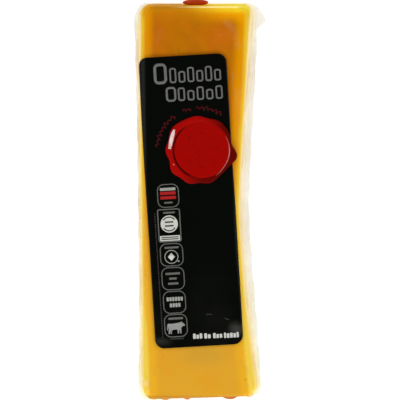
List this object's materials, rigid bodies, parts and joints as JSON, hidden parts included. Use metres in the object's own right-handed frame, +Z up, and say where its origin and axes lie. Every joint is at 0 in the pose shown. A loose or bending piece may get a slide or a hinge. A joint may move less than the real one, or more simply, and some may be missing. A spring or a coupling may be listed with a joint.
{
  "type": "cheddar block",
  "caption": "Bar of cheddar vacuum-packed in clear film with a narrow sealed rim, a dark sticker on its upper face and an embossed red seal.",
  "frame": {"origin": "on the surface the pack lies on, under the middle of the whole pack", "axes": "+Z up, out of the labelled face; +Y along the bar, towards the end the seal is nearer to; +X across it"},
  "size_m": [0.0558, 0.1696, 0.0281],
  "materials": {
    "cheddar": "orange-yellow cheddar under tight clear film",
    "film": "clear glossy film, milky where it is folded or sealed",
    "label": "semi-gloss black printed film sticker",
    "print_grey": "pale ink",
    "print_red": "red ink",
    "seal": "glossy embossed red"
  },
  "bodies": {
    "root": {"sealed_block": "cheddar", "front_label": "label", "red_seal": "seal"}
  },
  "joints": []
}
